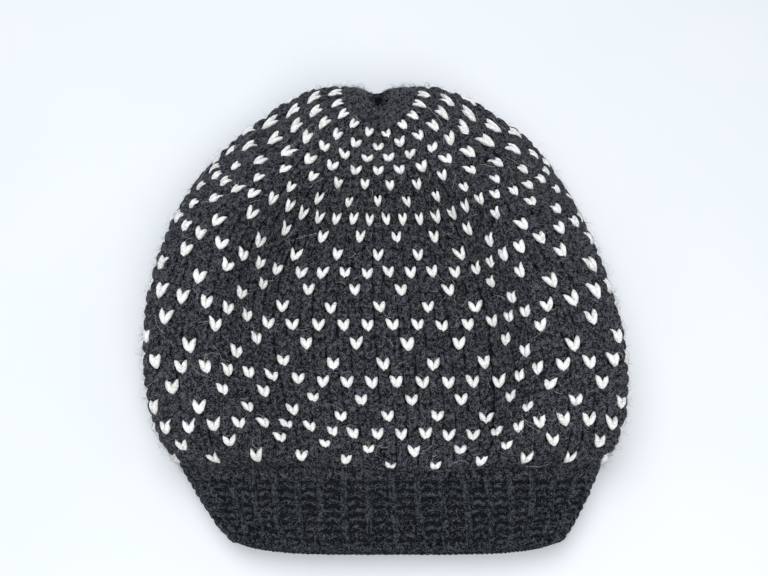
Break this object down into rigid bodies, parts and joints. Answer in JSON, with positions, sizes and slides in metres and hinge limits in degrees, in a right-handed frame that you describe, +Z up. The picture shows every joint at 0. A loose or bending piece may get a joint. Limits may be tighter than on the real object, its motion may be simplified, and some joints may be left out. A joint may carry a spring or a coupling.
{
  "type": "wool hat",
  "caption": "Slouchy hand-knitted wool hat with a ribbed band and small pale stitches on a dark body, lying flat with its mouth open.",
  "frame": {"origin": "under the middle of the lying hat, on the surface it rests on", "axes": "+Z up, away from the surface; -Y towards the mouth of the hat; +Y towards the crown point; X across the hat"},
  "size_m": [0.2396, 0.2443, 0.0548],
  "materials": {
    "dark_wool_rib": "fuzzy ribbed wool, blue-black",
    "dark_wool": "fuzzy stocking-stitch wool, blue-black",
    "pale_wool": "off-white wool stitches worked into the dark body"
  },
  "bodies": {
    "root": {"ribbed_band": "dark_wool_rib", "crown": "dark_wool"}
  },
  "joints": []
}
